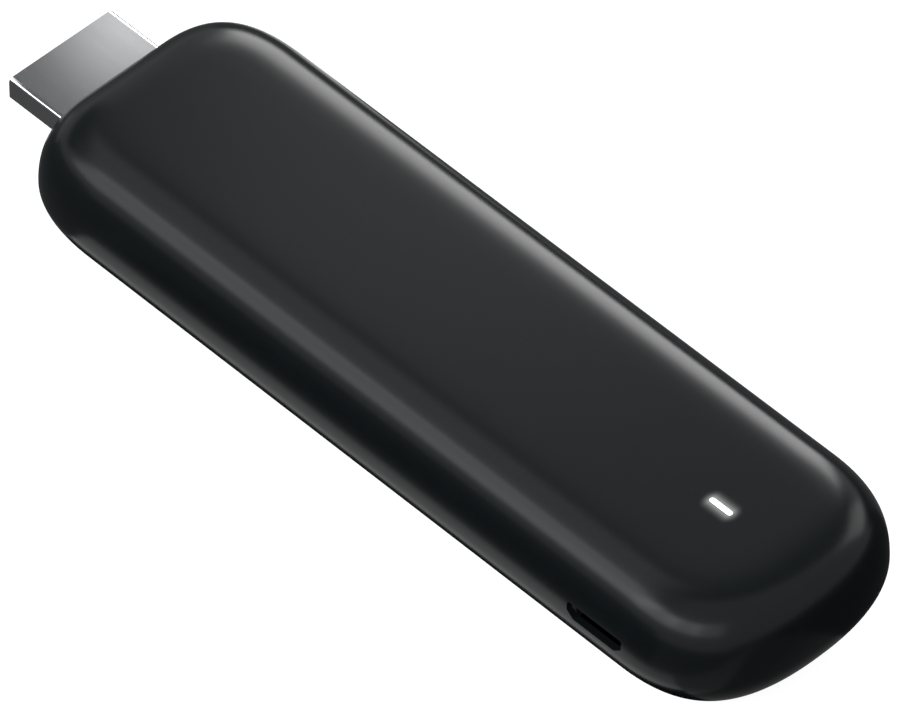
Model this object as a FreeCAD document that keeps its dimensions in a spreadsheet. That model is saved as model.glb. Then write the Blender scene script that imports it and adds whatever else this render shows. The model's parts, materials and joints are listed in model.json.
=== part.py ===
import FreeCAD, Part
import Sketcher
import math
import os
import re

# Streaming media stick: a pebble-shaped two-part housing round one circuit board,
# with a video plug at one end and a power socket in one long side.
# Origin: middle of the underside. +X points to the plug, +Y to the side with the
# power socket, +Z up. Millimetres.

Vector = FreeCAD.Vector

# Driving dimensions
SIZES = {
    # Housing outside
    "body_length": 98.9,
    "body_width": 30.7,
    "body_height": 15.4,
    "widest_height": 7.6,
    "parting_height": 7.0,
    "far_corner_length": 13.0,
    "far_flat_width": 0.5,
    "plug_corner_length": 11.5,
    "plug_corner_width": 9.9,
    "corner_fullness": 0.69,
    "corner_tightening": 0.9,
    "least_corner": 0.3,
    "top_shoulder": 9.0,
    "top_side_exponent": 2.17,
    "top_flat_exponent": 4.0,
    "bottom_shoulder": 9.5,
    "bottom_side_exponent": 1.8,
    "bottom_flat_exponent": 1.8,
    # Housing walls and the joint between the covers
    "wall": 1.5,
    "seam_gap": 0.08,
    "lip_thickness": 0.6,
    "lip_step": 0.1,
    "lip_rise": 1.1,
    "lip_root": 0.9,
    "lip_clearance": 0.06,
    "rib_thickness": 0.9,
    "cut_margin": 1.0,
    # Video plug
    "plug_reach": 7.9,
    "plug_lift": 0.25,
    "plug_width": 13.9,
    "plug_height": 4.45,
    "plug_side": 2.6,
    "plug_narrow": 10.4,
    "plug_metal": 0.3,
    "plug_edge_radius": 0.5,
    "plug_length": 13.9,
    "plug_fit": 0.03,
    "plug_opening_clearance": 0.06,
    "plug_slot_side": 1.0,
    "plug_slot_height": 2.1,
    "plug_slot_depth": 8.6,
    "plug_mouth_recess": 0.4,
    "plug_contact_pitch": 1.0,
    "plug_contact_width": 0.45,
    "plug_contact_metal": 0.2,
    "plug_contact_recess": 1.6,
    "plug_tail_length": 2.4,
    "plug_channel_clearance": 0.03,
    "bracket_length": 5.0,
    "bracket_overlap": 1.2,
    "bracket_clearance": 0.15,
    "bracket_metal": 0.3,
    "bracket_edge_radius": 0.45,
    "bracket_tab_length": 1.2,
    # Power socket
    "socket_inset": 15.95,
    "socket_recess": 0.8,
    "socket_width": 7.4,
    "socket_height": 2.35,
    "socket_side": 1.3,
    "socket_narrow": 6.0,
    "socket_metal": 0.25,
    "socket_edge_radius": 0.45,
    "socket_length": 5.2,
    "socket_fit": 0.02,
    "socket_opening_clearance": 0.1,
    "mouth_width": 7.35,
    "mouth_height": 1.85,
    "mouth_side": 1.1,
    "mouth_narrow": 5.5,
    "mouth_edge_radius": 0.3,
    "socket_base_length": 1.2,
    "tongue_width": 3.8,
    "tongue_thickness": 0.55,
    "tongue_drop": 0.1,
    "tongue_recess": 0.7,
    "socket_contact_pitch": 0.65,
    "socket_contact_width": 0.3,
    "socket_contact_metal": 0.12,
    "socket_tail_length": 0.9,
    # Circuit board
    "board_top": 7.45,
    "board_thickness": 1.0,
    "board_inset": 2.1,
    "board_setback": 0.6,
    "post_size": 3.2,
    "post_foot": 2.0,
    "post_side_inset": 4.35,
    "post_front_inset": 12.45,
    "post_far_inset": 6.45,
    "pin_radius": 0.7,
    "pin_stand": 0.1,
    "pin_clearance": 0.1,
    "pin_pocket": 0.6,
    # Indicator
    "indicator_inset": 14.35,
    "pill_length": 3.0,
    "pill_width": 0.72,
    "pill_clearance": 0.05,
    "pipe_flange_length": 4.6,
    "pipe_flange_width": 2.8,
    "pipe_flange_thickness": 0.8,
    "pipe_stem_length": 2.8,
    "pipe_stem_width": 1.6,
    "led_length": 2.0,
    "led_width": 1.25,
    "led_height": 0.8,
    "led_gap": 0.25,
    "tunnel_clearance": 0.4,
    "tunnel_wall": 0.9,
    "gasket_height": 1.8,
    # Shields over the chips
    "shield_metal": 0.2,
    "shield_clearance": 0.05,
    "shield_corner": 0.8,
    "shield_skirt": 1.1,
    "shield_end_room": 6.3,
    "shield_rear_room": 2.3,
    "shield_side_room": 0.65,
    "upper_shield_height": 1.8,
    "lower_shield_height": 1.4,
    # Chips
    "substrate_thickness": 0.3,
    "cap_step": 0.4,
    "chip_gap": 2.0,
    "processor_inset": 29.45,
    "processor_side": 13.0,
    "processor_height": 1.2,
    "memory_inset": 33.95,
    "memory_length": 11.0,
    "memory_width": 6.4,
    "memory_height": 1.0,
    "memory_gap": 0.5,
    "storage_place": -10.0,
    "storage_length": 13.0,
    "storage_width": 11.5,
    "storage_height": 1.0,
    "wireless_place": -11.5,
    "wireless_side": 12.0,
    "wireless_height": 1.7,
    "wireless_board": 0.5,
    "regulator_side": 5.0,
    "regulator_height": 0.8,
    "inductor_offset": 7.0,
    "inductor_length": 2.5,
    "inductor_width": 2.0,
    "inductor_height": 1.2,
    "inductor_pitch": 3.2,
    "crystal_gap": 0.75,
    "crystal_length": 2.5,
    "crystal_width": 3.2,
    "crystal_height": 0.7,
    "capacitor_length": 1.0,
    "capacitor_width": 0.55,
    "capacitor_height": 0.55,
    "capacitor_pitch": 1.6,
    "capacitor_clearance": 0.9,
    # Heat path
    "chip_pad_margin": 0.1,
    "spreader_thickness": 0.8,
    "spreader_corner": 1.5,
    "spreader_side_margin": 0.5,
    "upper_spreader_margin": 1.5,
    "lower_spreader_margin": 6.0,
    "pad_side_margin": 1.8,
    "upper_pad_clearance": 1.1,
    "lower_pad_margin": 2.0,
    "upper_pad_thickness": 1.4,
    "lower_pad_thickness": 0.9,
    "stake_size": 1.6,
    "stake_clearance": 0.1,
    "stake_head_size": 2.6,
    "stake_head_thickness": 0.5,
    "stake_inset": 2.6,
    "rib_inset": 6.0,
    "upper_rib_length": 13.0,
    # Antennas
    "antenna_inset": 8.45,
    "antenna_length": 6.0,
    "antenna_reach": 8.4,
    "antenna_start": 3.4,
    "antenna_height": 3.6,
    "antenna_metal": 0.25,
    "antenna_leg": 1.2,
    "antenna_slot": 0.8,
}

UPPER_CONTACTS = 10
LOWER_CONTACTS = 9
SOCKET_CONTACTS = 5
INDUCTORS = 3
CAPACITORS_IN_ROW = 6
ROD_SIDES = 12
OUTSIDE_STEPS = 9
CAVITY_STEPS = 5
# How much closer the housing's rows stand near its flats than at its widest line
ROW_CROWDING = 1.5
# Decimals to which the heights of the housing's rows are told apart
DECIMALS = 6
# Cosine of the angle below which two directions count as the same
ALIGNED = 0.999
# How much a 45 degree chamfer grows when its piece grows by one on every side
CHAMFER_GROWTH = "(2 - sqrt(2))"

ALONG_X = Vector(1, 0, 0)
ALONG_Y = Vector(0, 1, 0)
ALONG_Z = Vector(0, 0, 1)

# Places that several pieces share, as formulas of the driving dimensions
PLUG_TIP = "body_length / 2 + plug_reach"
PLUG_CENTRE = "(board_top + plug_lift)"
SOCKET_PLACE = "(socket_inset - body_length / 2)"
SOCKET_MOUTH = "body_width / 2 - socket_recess"
SOCKET_CENTRE = "board_top + socket_height / 2"
INDICATOR_PLACE = "(indicator_inset - body_length / 2)"
BOARD_BOTTOM = "(board_top - board_thickness)"
BOARD_FRONT = f"({PLUG_TIP} - plug_length - board_setback)"
BRACKET_PLACE = f"{PLUG_TIP} - plug_length - bracket_length / 2 + bracket_overlap"
BRACKET_WIDTH = "(plug_width + 2 * (bracket_clearance + bracket_metal))"
PROCESSOR_PLACE = "(body_length / 2 - processor_inset)"
REGULATOR_PLACE = f"({PROCESSOR_PLACE} - (processor_side + regulator_side) / 2 - chip_gap)"
MEMORY_PLACE = "(body_length / 2 - memory_inset)"
CHIP_PAD_SIDE = "processor_side - 2 * (cap_step + chip_pad_margin)"
CEILING = "(body_height - wall)"
INTO_CEILING = "(body_height - wall / 2)"
PIPE_BOTTOM = "(board_top + led_height + led_gap)"
SHIELD_PLACE = {
    "upper": f"({PROCESSOR_PLACE} - (regulator_side + chip_gap + shield_rear_room - shield_end_room) / 2)",
    "lower": MEMORY_PLACE,
}
SHIELD_LENGTH = {
    "upper": "(processor_side + regulator_side + chip_gap + shield_rear_room + shield_end_room"
             " + 2 * shield_metal)",
    "lower": "(memory_length + 2 * (shield_end_room + shield_metal))",
}
SHIELD_WIDTH = {
    "upper": "(processor_side + 2 * (capacitor_clearance + capacitor_width + shield_side_room"
             " + shield_metal))",
    "lower": "(2 * memory_width + memory_gap + 2 * (shield_side_room + shield_metal))",
}
CRYSTAL_PLACE = (f"({SHIELD_PLACE['upper']} - {SHIELD_LENGTH['upper']} / 2 - crystal_gap"
                 " - crystal_length / 2)")
SPREADER_LENGTH = {side: f"({SHIELD_LENGTH[side]} + 2 * {side}_spreader_margin)" for side in SHIELD_LENGTH}
SPREADER_WIDTH = {side: f"({SHIELD_WIDTH[side]} + 2 * spreader_side_margin)" for side in SHIELD_WIDTH}
STAKE_OFFSET = f"({SPREADER_LENGTH['upper']} / 2 - stake_inset)"
PAD_LENGTH = {
    "upper": f"(2 * ({STAKE_OFFSET} - stake_head_size / 2 - upper_pad_clearance))",
    "lower": f"({SHIELD_LENGTH['lower']} - 2 * lower_pad_margin)",
}
PAD_WIDTH = {side: f"({SHIELD_WIDTH[side]} - 2 * pad_side_margin)" for side in SHIELD_WIDTH}
PAD_SEAT = {
    "upper": "(board_top + upper_shield_height + shield_metal)",
    "lower": f"({BOARD_BOTTOM} - lower_shield_height - shield_metal - lower_pad_thickness)",
}
SPREADER_SEAT = {
    "upper": f"({PAD_SEAT['upper']} + upper_pad_thickness)",
    "lower": f"({PAD_SEAT['lower']} - spreader_thickness)",
}
POSTS = (
    ("body_length / 2 - post_front_inset", "body_width / 2 - post_side_inset"),
    ("body_length / 2 - post_front_inset", "post_side_inset - body_width / 2"),
    ("post_far_inset - body_length / 2", "0"),
)
PINS = (POSTS[0], POSTS[2])
STAKES = (1, -1)

doc = FreeCAD.newDocument("streaming_media_stick")
sheet = doc.addObject("Spreadsheet::Sheet", "sizes")
for row, (alias, value) in enumerate(SIZES.items(), 1):
    sheet.set(f"A{row}", alias)
    sheet.set(f"B{row}", str(value))
    sheet.setAlias(f"B{row}", alias)
doc.recompute()


def size(alias):
    """Value of one driving dimension, read from the sheet."""
    return float(sheet.get(alias))


def bind(thing, property_name, formula):
    """Bind a property to a formula written with the sheet's aliases."""
    named = re.sub(r"[a-z_]+", lambda word: f"sizes.{word[0]}" if word[0] in SIZES else word[0], formula)
    thing.setExpression(property_name, named)


def place(thing, x="0", y="0", z="0"):
    """Bind where a sub-part stands."""
    for axis, formula in zip("xyz", (x, y, z)):
        bind(thing, f"Placement.Base.{axis}", formula)
    return thing


# Plan outline and the lofted form of the housing

def corner_reach(end, inset):
    """Length and width of the rounded corner at one end; it tightens as the outline is drawn in."""
    tighter = inset * size("corner_tightening")
    length = size(f"{end}_corner_length") - tighter
    widest = (size("body_width") - size("far_flat_width")) / 2 - inset
    width = widest if end == "far" else min(size("plug_corner_width") - tighter, widest)
    return max(length, size("least_corner")), max(width, size("least_corner"))


def outline(inset, height):
    """Closed plan outline, set in from the widest line: straight runs and full, soft corners."""
    half_length = size("body_length") / 2 - inset
    half_width = size("body_width") / 2 - inset
    fullness = size("corner_fullness")
    corners = []
    for end, side in ((1, 1), (-1, 1), (-1, -1), (1, -1)):
        length, width = corner_reach("plug" if end > 0 else "far", inset)
        centre = Vector(end * (half_length - length), side * (half_width - width), height)
        along = Vector(end * length, 0, 0)
        across = Vector(0, side * width, 0)
        poles = [
            centre + along,
            centre + along + across * fullness,
            centre + across + along * fullness,
            centre + across,
        ]
        corners.append(poles if end == side else poles[::-1])
    edges = []
    for number, poles in enumerate(corners):
        curve = Part.BezierCurve()
        curve.setPoles(poles)
        following = corners[(number + 1) % len(corners)]
        edges.append(curve.toShape())
        edges.append(Part.makeLine(poles[-1], following[0]))
    return Part.Wire(edges)


def drawn_in(inset, height):
    """How far the form that is set in by inset has drawn in from its widest line at a height."""
    widest = size("widest_height")
    half = "top" if height > widest else "bottom"
    rise = (size("body_height") - widest if half == "top" else widest) - inset
    climbed = min(abs(height - widest) / rise, 1) ** size(f"{half}_side_exponent")
    return (size(f"{half}_shoulder") - inset) * (1 - (1 - climbed) ** (1 / size(f"{half}_flat_exponent")))


def pebble(inset, low, high, steps):
    """Ruled loft of the housing's form, set in by inset, between two heights."""
    widest = size("widest_height")
    heights = {low, high}
    for half, end in (("bottom", inset), ("top", size("body_height") - inset)):
        for step in range(steps + 1):
            turn = math.pi / 2 * (1 - (1 - step / steps) ** ROW_CROWDING)
            climbed = math.sin(turn) ** (2 / size(f"{half}_side_exponent"))
            heights.add(round(widest + (end - widest) * climbed, DECIMALS))
    rows = [outline(inset + drawn_in(inset, height), height) for height in sorted(heights)
            if low <= height <= high]
    return Part.makeLoft(rows, True, True)


def prism(inset, low, high):
    """Straight-walled block with the plan outline."""
    return Part.Face(outline(inset, low)).extrude(Vector(0, 0, high - low))


def feature(name, shape):
    """Part::Feature that holds a lofted or extruded form."""
    holder = doc.addObject("Part::Feature", name)
    holder.Shape = shape
    return holder


# Small builders for Part primitives and booleans

def block(name, length, width, height, x, y, z):
    """Rectangular piece centred on x and y that stands on z."""
    box = doc.addObject("Part::Box", name)
    bind(box, "Length", length)
    bind(box, "Width", width)
    bind(box, "Height", height)
    return place(box, f"{x} - ({length}) / 2", f"{y} - ({width}) / 2", z)


def rod(name, radius, height, x, y, z):
    """Upright piece that stands on z, with enough flat sides to pass for a round one."""
    pillar = doc.addObject("Part::Prism", name)
    pillar.Polygon = ROD_SIDES
    bind(pillar, "Circumradius", radius)
    bind(pillar, "Height", height)
    return place(pillar, x, y, z)


def cut(name, base, tool):
    result = doc.addObject("Part::Cut", name)
    result.Base = base
    result.Tool = tool
    return result


def fuse(name, shapes):
    result = doc.addObject("Part::MultiFuse", name)
    result.Shapes = shapes
    return result


def group(name, pieces):
    """Separate solids that share one node."""
    result = doc.addObject("Part::Compound", name)
    result.Links = pieces
    return result


# Small builders for PartDesign bodies

def new_body(name):
    return doc.addObject("PartDesign::Body", name)


def origin_of(body, role):
    """Origin plane or axis of a body."""
    return next(item for item in body.Origin.OriginFeatures if item.Role == role)


def new_sketch(body, name, role, offset="0"):
    """Sketch on one of the body's own origin planes, moved along its normal."""
    sketch = body.newObject("Sketcher::SketchObject", name)
    sketch.AttachmentSupport = [(origin_of(body, role), "")]
    sketch.MapMode = "FlatFace"
    bind(sketch, "AttachmentOffset.Base.z", offset)
    return sketch


def draw_outline(sketch, corners, name="corner"):
    """Closed chain of lines whose corners are each bound to two formulas."""
    first = sketch.GeometryCount
    count = len(corners)
    drawn = [Vector(math.cos(math.tau * turn / count), math.sin(math.tau * turn / count), 0)
             for turn in range(count)]
    for number in range(count):
        sketch.addGeometry(Part.LineSegment(drawn[number], drawn[(number + 1) % count]), False)
    for number, (x, y) in enumerate(corners):
        following = first + (number + 1) % count
        sketch.addConstraint(Sketcher.Constraint("Coincident", first + number, 2, following, 1))
        dimension(sketch, "DistanceX", first + number, 1, drawn[number].x, f"{name}_x{number}", x)
        dimension(sketch, "DistanceY", first + number, 1, drawn[number].y, f"{name}_y{number}", y)


def dimension(sketch, kind, item, point, drawn, name, formula):
    """Distance of a point from the sketch's origin along one axis, bound to a formula."""
    index = sketch.addConstraint(Sketcher.Constraint(kind, -1, 1, item, point, drawn))
    sketch.renameConstraint(index, name)
    bind(sketch, f"Constraints.{name}", formula)


def draw_rectangle(sketch, length, width, x="0", y="0", name="corner"):
    """Rectangle centred on x and y of the sketch."""
    left, right = (f"{x} {sign} ({length}) / 2" for sign in "-+")
    low, high = (f"{y} {sign} ({width}) / 2" for sign in "-+")
    draw_outline(sketch, [(right, high), (left, high), (left, low), (right, low)], name)


def draw_slot(sketch, length, width):
    """Slot with round ends, centred on the sketch's origin."""
    ends = []
    for name, side in (("right", 1), ("left", -1)):
        circle = Part.Circle(Vector(side, 0, 0), ALONG_Z, 1)
        arc = Part.ArcOfCircle(circle, -side * math.pi / 2, math.pi - side * math.pi / 2)
        ends.append(sketch.addGeometry(arc, False))
        index = sketch.addConstraint(Sketcher.Constraint("Radius", ends[-1], 1))
        sketch.renameConstraint(index, f"{name}_radius")
        bind(sketch, f"Constraints.{name}_radius", f"({width}) / 2")
        dimension(sketch, "DistanceX", ends[-1], 3, side, f"{name}_x", f"{side} * ({length} - ({width})) / 2")
        dimension(sketch, "DistanceY", ends[-1], 3, 0, f"{name}_y", "0")
    right, left = ends
    for side, first, second in ((1, right, left), (-1, left, right)):
        line = sketch.addGeometry(Part.LineSegment(Vector(side, side, 0), Vector(-side, side, 0)), False)
        sketch.addConstraint(Sketcher.Constraint("Tangent", first, 2, line, 1))
        sketch.addConstraint(Sketcher.Constraint("Tangent", line, 2, second, 1))


def draw_plug_profile(sketch, kind, inset="0"):
    """Connector outline: wide flat top, straight sides, slanted in to a narrow bottom."""
    slant = f"atan(({kind}_width - {kind}_narrow) / 2 / ({kind}_height - {kind}_side))"
    wide = f"({kind}_width / 2 - ({inset}))"
    narrow = f"({kind}_narrow / 2 - ({inset}) * tan((90 deg - {slant}) / 2))"
    top = f"({kind}_height / 2 - ({inset}))"
    knee = f"({kind}_height / 2 - {kind}_side + ({inset}) * tan({slant} / 2))"
    draw_outline(sketch, [
        (wide, top), (f"-{wide}", top), (f"-{wide}", knee),
        (f"-{narrow}", f"-{top}"), (narrow, f"-{top}"), (wide, knee),
    ])


def pad(body, name, sketch, length, reverse=False):
    feature_object = body.newObject("PartDesign::Pad", name)
    feature_object.Profile = sketch
    feature_object.Reversed = reverse
    bind(feature_object, "Length", length)
    return feature_object


def pocket(body, name, sketch, length, reverse=False, both_ways=False):
    feature_object = body.newObject("PartDesign::Pocket", name)
    feature_object.Profile = sketch
    feature_object.Reversed = reverse
    if both_ways:
        feature_object.SideType = "Symmetric"
    bind(feature_object, "Length", length)
    return feature_object


def repeat(body, name, original, axis, length, count):
    """Row of copies along an origin axis of the body."""
    pattern = body.newObject("PartDesign::LinearPattern", name)
    pattern.Originals = [original]
    pattern.Direction = (origin_of(body, axis), [""])
    pattern.Occurrences = count
    bind(pattern, "Length", length)
    body.Tip = pattern
    return pattern


def edges_along(shape, direction, above=-math.inf):
    """Names of the straight edges that run along a direction, above a height."""
    names = []
    for number, edge in enumerate(shape.Edges, 1):
        straight = edge.Curve.TypeId == "Part::GeomLine"
        aligned = straight and abs(edge.tangentAt(edge.FirstParameter).dot(direction)) > ALIGNED
        if aligned and edge.CenterOfMass.z > above:
            names.append(f"Edge{number}")
    return names


def faces_at(shape, direction, wanted):
    """Names of the flat faces that face along a direction, at the wanted ends of it."""
    found = []
    for number, face in enumerate(shape.Faces, 1):
        if abs(face.normalAt(0, 0).dot(direction)) > ALIGNED:
            found.append((face.CenterOfMass.dot(direction), f"Face{number}"))
    found.sort()
    ends = {"low": [found[0][1]], "high": [found[-1][1]], "both": [found[0][1], found[-1][1]]}
    return ends[wanted]


def round_edges(body, name, base, direction, radius, above=-math.inf):
    """Fillet on the edges of base that run along a direction, above a height."""
    doc.recompute()
    fillet = body.newObject("PartDesign::Fillet", name)
    fillet.Base = (base, edges_along(base.Shape, direction, above))
    bind(fillet, "Radius", radius)
    return fillet


def clip_corners(body, name, base, reach):
    """Chamfer on the upright edges of base."""
    doc.recompute()
    chamfer = body.newObject("PartDesign::Chamfer", name)
    chamfer.Base = (base, edges_along(base.Shape, ALONG_Z))
    bind(chamfer, "Size", reach)
    return chamfer


def hollow(body, name, base, direction, ends, metal):
    """Sheet-metal wall left inside base, open at the given ends."""
    doc.recompute()
    thickness = body.newObject("PartDesign::Thickness", name)
    thickness.Base = (base, faces_at(base.Shape, direction, ends))
    thickness.Reversed = True
    thickness.Join = "Intersection"
    bind(thickness, "Value", metal)
    return thickness


# Video plug: local origin at the middle of its mouth, built rearwards along -X

def plug_shell():
    body = new_body("video_plug_shell")
    sketch = new_sketch(body, "plug_shell_outline", "YZ_Plane")
    draw_plug_profile(sketch, "plug")
    solid = pad(body, "plug_shell_block", sketch, "plug_length", reverse=True)
    rounded = round_edges(body, "plug_shell_edges", solid, ALONG_X, "plug_edge_radius")
    hollow(body, "plug_shell_wall", rounded, ALONG_X, "both", "plug_metal")
    return place(body, PLUG_TIP, "0", PLUG_CENTRE)


def plug_insulator():
    body = new_body("video_plug_insulator")
    sketch = new_sketch(body, "insulator_outline", "YZ_Plane", "-plug_mouth_recess")
    draw_plug_profile(sketch, "plug", "(plug_metal + plug_fit)")
    solid = pad(body, "insulator_block", sketch, "plug_length - plug_mouth_recess", reverse=True)
    rounded = round_edges(body, "insulator_edges", solid, ALONG_X, "plug_edge_radius - plug_metal")
    slot = new_sketch(body, "slot_outline", "YZ_Plane")
    draw_rectangle(slot, "plug_width - 2 * plug_slot_side", "plug_slot_height")
    pocket(body, "slot", slot, "plug_slot_depth + plug_mouth_recess")
    for row, count, side in (("upper", UPPER_CONTACTS, 1), ("lower", LOWER_CONTACTS, -1)):
        channel = new_sketch(body, f"{row}_channel_outline", "YZ_Plane")
        draw_rectangle(
            channel,
            "plug_contact_width + 2 * plug_channel_clearance",
            "plug_contact_metal + plug_channel_clearance",
            f"-plug_contact_pitch * {(count - 1) / 2}",
            f"{side} * (plug_slot_height + plug_contact_metal + plug_channel_clearance) / 2",
        )
        first = pocket(body, f"{row}_channel", channel, "plug_length")
        repeat(body, f"{row}_channels", first, "Y_Axis", f"plug_contact_pitch * {count - 1}", count)
    return place(body, PLUG_TIP, "0", PLUG_CENTRE)


def stepped_strip(sketch, tip, bend, tail, strip_low, tail_low, metal):
    """Side view of a contact: a strip, a step down behind the bend and a solder tail."""
    strip_high = f"{strip_low} + {metal}"
    tail_high = f"{tail_low} + {metal}"
    draw_outline(sketch, [
        (tip, strip_high), (f"{bend} - {metal}", strip_high), (f"{bend} - {metal}", tail_high),
        (tail, tail_high), (tail, tail_low), (bend, tail_low), (bend, strip_low), (tip, strip_low),
    ])


def plug_contacts(row, count, strip_low, tail_low):
    """Strips that lie in the insulator's channels and step down to the board behind it."""
    body = new_body(f"video_plug_contacts_{row}")
    span = f"plug_contact_pitch * {count - 1}"
    sketch = new_sketch(body, f"{row}_contact_outline", "XZ_Plane", f"{span} / 2 - plug_contact_width / 2")
    stepped_strip(sketch, "-plug_contact_recess", "-plug_length", "-plug_length - plug_tail_length",
                  strip_low, tail_low, "plug_contact_metal")
    strip = pad(body, f"{row}_contact", sketch, "plug_contact_width")
    repeat(body, f"{row}_contacts", strip, "Y_Axis", span, count)
    return place(body, PLUG_TIP, "0", PLUG_CENTRE)


def plug_bracket():
    """Cap behind the plug: it sits on the shell and on the board, with tabs down through the board."""
    body = new_body("video_plug_bracket")
    rise = "plug_lift + plug_height / 2"
    sketch = new_sketch(body, "bracket_outline", "XY_Plane")
    draw_rectangle(sketch, "bracket_length", BRACKET_WIDTH)
    block_pad = pad(body, "bracket_block", sketch, f"{rise} + bracket_metal")
    round_edges(body, "bracket_edges", block_pad, ALONG_X, "bracket_edge_radius", above=size("bracket_metal"))
    inside = new_sketch(body, "bracket_inside_outline", "XY_Plane")
    draw_rectangle(inside, "bracket_length", "plug_width + 2 * bracket_clearance", "bracket_metal", "0")
    pocket(body, "bracket_inside", inside, rise, reverse=True)
    for name, side in (("near", 1), ("far", -1)):
        tab = new_sketch(body, f"bracket_{name}_tab_outline", "XY_Plane")
        draw_rectangle(tab, "bracket_tab_length", "bracket_metal", "0",
                       f"{side} * ({BRACKET_WIDTH} - bracket_metal) / 2")
        pad(body, f"bracket_{name}_tab", tab, "board_thickness + bracket_metal", reverse=True)
    return place(body, BRACKET_PLACE, "0", "board_top")


# Power socket: local origin at the middle of its mouth, built inwards along -Y

def socket_shell():
    body = new_body("power_socket_shell")
    sketch = new_sketch(body, "socket_shell_outline", "XZ_Plane")
    draw_plug_profile(sketch, "socket")
    solid = pad(body, "socket_shell_block", sketch, "socket_length")
    rounded = round_edges(body, "socket_shell_edges", solid, ALONG_Y, "socket_edge_radius")
    hollow(body, "socket_shell_wall", rounded, ALONG_Y, "both", "socket_metal")
    return place(body, SOCKET_PLACE, SOCKET_MOUTH, SOCKET_CENTRE)


def socket_tongue():
    body = new_body("power_socket_tongue")
    base_sketch = new_sketch(body, "socket_base_outline", "XZ_Plane", "socket_length - socket_base_length")
    draw_plug_profile(base_sketch, "socket", "(socket_metal + socket_fit)")
    base = pad(body, "socket_base", base_sketch, "socket_base_length")
    round_edges(body, "socket_base_edges", base, ALONG_Y, "socket_edge_radius - socket_metal")
    tongue = new_sketch(body, "tongue_outline", "XZ_Plane", "tongue_recess")
    draw_rectangle(tongue, "tongue_width", "tongue_thickness", "0", "tongue_thickness / 2 - tongue_drop")
    pad(body, "tongue", tongue, "socket_length - tongue_recess")
    channel = new_sketch(body, "socket_channel_outline", "XZ_Plane")
    span = f"socket_contact_pitch * {SOCKET_CONTACTS - 1}"
    draw_rectangle(channel, "socket_contact_width + 2 * socket_fit", "socket_contact_metal + socket_fit",
                   f"-{span} / 2", "-tongue_drop - (socket_contact_metal + socket_fit) / 2")
    first = pocket(body, "socket_channel", channel, "2 * (socket_length + cut_margin)", both_ways=True)
    repeat(body, "socket_channels", first, "X_Axis", span, SOCKET_CONTACTS)
    return place(body, SOCKET_PLACE, SOCKET_MOUTH, SOCKET_CENTRE)


def socket_contacts():
    body = new_body("power_socket_contacts")
    span = f"socket_contact_pitch * {SOCKET_CONTACTS - 1}"
    sketch = new_sketch(body, "socket_contact_outline", "YZ_Plane", f"-{span} / 2 - socket_contact_width / 2")
    stepped_strip(sketch, "-tongue_recess - socket_contact_metal", "-socket_length",
                  "-socket_length - socket_tail_length", "-tongue_drop - socket_contact_metal",
                  "-socket_height / 2", "socket_contact_metal")
    strip = pad(body, "socket_contact", sketch, "socket_contact_width")
    repeat(body, "socket_contact_row", strip, "X_Axis", span, SOCKET_CONTACTS)
    return place(body, SOCKET_PLACE, SOCKET_MOUTH, SOCKET_CENTRE)


# Circuit board and what it carries

def circuit_board():
    """Board cut to the plan outline, with a straight front edge, pin holes and bracket slots."""
    blank = feature("board_blank", prism(size("board_inset"), size("board_top") - size("board_thickness"),
                                         size("board_top")))
    length = f"({BOARD_FRONT} + body_length / 2)"
    through = "board_thickness + 2 * cut_margin"
    below = f"{BOARD_BOTTOM} - cut_margin"
    limits = block("board_limits", length, "body_width", through, f"{BOARD_FRONT} - {length} / 2", "0", below)
    trimmed = doc.addObject("Part::Common", "board_trimmed")
    trimmed.Base = blank
    trimmed.Tool = limits
    holes = [
        rod(f"pin_hole_{number}", "pin_radius + pin_clearance", through, x, y, below)
        for number, (x, y) in enumerate(PINS)
    ]
    for name, side in (("near", 1), ("far", -1)):
        holes.append(block(f"bracket_slot_{name}", "bracket_tab_length + 2 * pin_clearance",
                           "bracket_metal + 2 * pin_clearance", through, BRACKET_PLACE,
                           f"{side} * ({BRACKET_WIDTH} - bracket_metal) / 2", below))
    return cut("circuit_board", trimmed, fuse("board_holes", holes))


def chip(name, length, width, height, x, y="0", under=False):
    """Packaged chip: a thin substrate and a smaller moulded cap, on either face of the board."""
    body = new_body(name)
    substrate = new_sketch(body, f"{name}_substrate_outline", "XY_Plane")
    draw_rectangle(substrate, length, width)
    pad(body, f"{name}_substrate", substrate, "substrate_thickness")
    cap = new_sketch(body, f"{name}_cap_outline", "XY_Plane")
    draw_rectangle(cap, f"{length} - 2 * cap_step", f"{width} - 2 * cap_step")
    pad(body, f"{name}_cap", cap, height)
    return stand(body, x, y, under)


def stand(body, x, y="0", under=False):
    """Put a piece on the board's top face, or turned over on its underside."""
    if under:
        body.Placement.Rotation = FreeCAD.Rotation(ALONG_X, 180)
    return place(body, x, y, BOARD_BOTTOM if under else "board_top")


def shield_frame(side, under=False):
    """Soldered wall round the chips."""
    name = f"{side}_shield_frame"
    body = new_body(name)
    outside = new_sketch(body, f"{name}_outline", "XY_Plane")
    draw_rectangle(outside, SHIELD_LENGTH[side], SHIELD_WIDTH[side])
    block_pad = pad(body, f"{name}_block", outside, f"{side}_shield_height")
    clipped = clip_corners(body, f"{name}_corners", block_pad, "shield_corner")
    hollow(body, f"{name}_wall", clipped, ALONG_Z, "both", "shield_metal")
    return stand(body, SHIELD_PLACE[side], "0", under)


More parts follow.
